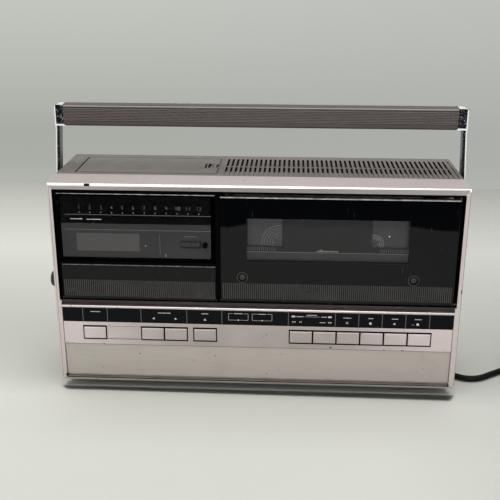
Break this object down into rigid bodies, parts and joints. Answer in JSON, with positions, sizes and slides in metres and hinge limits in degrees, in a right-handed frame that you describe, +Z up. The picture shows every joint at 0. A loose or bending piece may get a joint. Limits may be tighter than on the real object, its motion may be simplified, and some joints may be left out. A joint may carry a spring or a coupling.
{
  "type": "video cassette recorder",
  "caption": "Portable front-loading video cassette recorder with a fold-back carrying handle, tilting cassette door, flip-down control door, push buttons and mains cord.",
  "frame": {"origin": "on the table under the middle of the casing", "axes": "+X to the right of someone who looks at the front, +Y from the front to the back, +Z up; the front faces -Y"},
  "size_m": [0.6255, 0.1425, 0.287],
  "materials": {
    "champagne_metal": "satin champagne silver with fine wear",
    "lower_panel_metal": "satin greyish silver",
    "cover_paint": "matt warm grey, dusty",
    "lid_paint": "matt neutral grey",
    "bright_trim": "bright rounded moulding",
    "gloss_black": "gloss black with fine scratches",
    "matt_black": "matt black moulding",
    "smoked_window": "dark smoked clear plastic",
    "arm_chrome": "chrome with fine pits",
    "steel": "bright sheet steel",
    "aluminium": "machined, satin",
    "grip_plastic": "ribbed warm grey-brown plastic",
    "white_plastic": "white moulded plastic",
    "board": "green board with black chips",
    "rubber": "black rubber",
    "black_cord": "black flexible sheath, slight sheen"
  },
  "bodies": {
    "casing": {"front_bezel": "champagne_metal", "top_cover": "cover_paint", "rear_cover": "cover_paint", "bottom_pan": "cover_paint", "foot_front_left": "rubber", "foot_front_right": "rubber", "foot_rear_left": "rubber", "foot_rear_right": "rubber", "lower_panel": "lower_panel_metal", "control_panel": "champagne_metal", "legend_strip": "gloss_black", "trim_strip": "bright_trim", "left_bay": "matt_black", "display_window": "smoked_window", "display_board": "matt_black", "battery_tray": "matt_black", "side_socket_cap": "rubber", "deck_chassis": "steel", "lower_drum": "aluminium", "capstan_motor": "steel", "main_board": "board", "transformer": "steel", "handle_pivot_left": "matt_black", "handle_pivot_right": "matt_black", "strain_relief": "rubber", "power_cord": "black_cord", "power_cord_coil": "black_cord", "power_plug": "rubber"},
    "handle": {"handle_arm_left": "arm_chrome", "handle_arm_right": "arm_chrome", "handle_grip": "grip_plastic"},
    "cassette_door": {"cassette_door": "gloss_black", "door_lens": "smoked_window", "cassette_holder": "steel", "cassette_shell": "matt_black"},
    "supply_reel": {"supply_reel": "white_plastic"},
    "takeup_reel": {"takeup_reel": "white_plastic"},
    "flip_door": {"flip_door": "gloss_black"},
    "battery_lid": {"battery_lid": "lid_paint"},
    "lid_latch": {"lid_latch": "matt_black"},
    "counter_reset_button": {"counter_reset_button": "white_plastic"},
    "counter_drum": {"counter_drum": "matt_black"},
    "tracking_knob": {"tracking_knob": "matt_black"},
    "supply_spindle": {"supply_spindle": "white_plastic"},
    "takeup_spindle": {"takeup_spindle": "white_plastic"},
    "upper_drum": {"upper_drum": "aluminium"},
    "capstan": {"capstan": "steel"},
    "pinch_arm": {"pinch_arm": "steel"},
    "pinch_roller": {"pinch_roller": "rubber"},
    "power_button": {"power_button": "champagne_metal"},
    "channel_down_button": {"channel_down_button": "champagne_metal"},
    "channel_up_button": {"channel_up_button": "champagne_metal"},
    "eject_button": {"eject_button": "champagne_metal"},
    "search_forward_button": {"search_forward_button": "champagne_metal"},
    "search_reverse_button": {"search_reverse_button": "champagne_metal"},
    "pause_button": {"pause_button": "champagne_metal"},
    "record_button": {"record_button": "champagne_metal"},
    "play_button": {"play_button": "champagne_metal"},
    "stop_button": {"stop_button": "champagne_metal"}
  },
  "joints": [
    {"name": "handle_fold", "type": "hinge", "parent": "casing", "child": "handle", "pos_m": [0, 0, 0.198], "axis": [-1, 0, 0], "range_deg": [0, 90]},
    {"name": "cassette_door_tilt", "type": "hinge", "parent": "casing", "child": "cassette_door", "pos_m": [0.0793, -0.043, 0.0992], "axis": [1, 0, 0], "range_deg": [0, 24]},
    {"name": "supply_reel_turn", "type": "hinge", "parent": "cassette_door", "child": "supply_reel", "pos_m": [0.0224, -0.0275, 0.15855], "axis": [0, 1, 0], "continuous": true},
    {"name": "takeup_reel_turn", "type": "hinge", "parent": "cassette_door", "child": "takeup_reel", "pos_m": [0.1144, -0.0275, 0.15855], "axis": [0, 1, 0], "continuous": true},
    {"name": "flip_door_tilt", "type": "hinge", "parent": "casing", "child": "flip_door", "pos_m": [-0.117, -0.0435, 0.0987], "axis": [1, 0, 0], "range_deg": [0, 85]},
    {"name": "battery_lid_lift", "type": "hinge", "parent": "casing", "child": "battery_lid", "pos_m": [-0.1787, 0.0039, 0.2242], "axis": [0, -1, 0], "range_deg": [0, 14]},
    {"name": "lid_latch_slide", "type": "slide", "parent": "battery_lid", "child": "lid_latch", "axis": [-1, 0, 0], "range_m": [0, 0.0017], "stiffness_N_per_m": 400},
    {"name": "counter_reset_press", "type": "slide", "parent": "casing", "child": "counter_reset_button", "axis": [0, 1, 0], "range_m": [0, 0.001], "stiffness_N_per_m": 300},
    {"name": "counter_drum_turn", "type": "hinge", "parent": "casing", "child": "counter_drum", "pos_m": [-0.0649, -0.0365, 0.1558], "axis": [1, 0, 0], "continuous": true},
    {"name": "tracking_knob_turn", "type": "hinge", "parent": "casing", "child": "tracking_knob", "pos_m": [-0.07, -0.0355, 0.1143], "axis": [0, 1, 0], "range_deg": [-140, 140]},
    {"name": "supply_spindle_turn", "type": "hinge", "parent": "casing", "child": "supply_spindle", "pos_m": [0.0224, -0.0095, 0.15855], "axis": [0, 1, 0], "continuous": true},
    {"name": "takeup_spindle_turn", "type": "hinge", "parent": "casing", "child": "takeup_spindle", "pos_m": [0.1144, -0.0095, 0.15855], "axis": [0, 1, 0], "continuous": true},
    {"name": "upper_drum_turn", "type": "hinge", "parent": "casing", "child": "upper_drum", "pos_m": [0.0684, -0.0215, 0.052], "axis": [-0.1028, 0.9947, 0], "continuous": true},
    {"name": "capstan_turn", "type": "hinge", "parent": "casing", "child": "capstan", "pos_m": [0.14, -0.0095, 0.088], "axis": [0, 1, 0], "continuous": true},
    {"name": "pinch_arm_swing", "type": "hinge", "parent": "casing", "child": "pinch_arm", "pos_m": [0.166, -0.0105, 0.07], "axis": [0, 1, 0], "range_deg": [0, 15.5]},
    {"name": "pinch_roller_turn", "type": "hinge", "parent": "pinch_arm", "child": "pinch_roller", "pos_m": [0.14234, -0.0195, 0.07404], "axis": [0, 1, 0], "continuous": true},
    {"name": "power_press", "type": "slide", "parent": "casing", "child": "power_button", "axis": [0, 1, 0], "range_m": [0, 0.002], "stiffness_N_per_m": 600},
    {"name": "channel_down_press", "type": "slide", "parent": "casing", "child": "channel_down_button", "axis": [0, 1, 0], "range_m": [0, 0.002], "stiffness_N_per_m": 600},
    {"name": "channel_up_press", "type": "slide", "parent": "casing", "child": "channel_up_button", "axis": [0, 1, 0], "range_m": [0, 0.002], "stiffness_N_per_m": 600},
    {"name": "eject_press", "type": "slide", "parent": "casing", "child": "eject_button", "axis": [0, 1, 0], "range_m": [0, 0.002], "stiffness_N_per_m": 600},
    {"name": "search_forward_press", "type": "slide", "parent": "casing", "child": "search_forward_button", "axis": [0, 1, 0], "range_m": [0, 0.002], "stiffness_N_per_m": 600},
    {"name": "search_reverse_press", "type": "slide", "parent": "casing", "child": "search_reverse_button", "axis": [0, 1, 0], "range_m": [0, 0.002], "stiffness_N_per_m": 600},
    {"name": "pause_press", "type": "slide", "parent": "casing", "child": "pause_button", "axis": [0, 1, 0], "range_m": [0, 0.002], "stiffness_N_per_m": 600},
    {"name": "record_press", "type": "slide", "parent": "casing", "child": "record_button", "axis": [0, 1, 0], "range_m": [0, 0.002], "stiffness_N_per_m": 600},
    {"name": "play_press", "type": "slide", "parent": "casing", "child": "play_button", "axis": [0, 1, 0], "range_m": [0, 0.002], "stiffness_N_per_m": 600},
    {"name": "stop_press", "type": "slide", "parent": "casing", "child": "stop_button", "axis": [0, 1, 0], "range_m": [0, 0.002], "stiffness_N_per_m": 600}
  ],
  "couplings": [
    {"joint": "supply_spindle_turn", "follows": "supply_reel_turn", "ratio": 1},
    {"joint": "takeup_spindle_turn", "follows": "takeup_reel_turn", "ratio": 1},
    {"joint": "counter_drum_turn", "follows": "takeup_reel_turn", "ratio": 0.1}
  ]
}
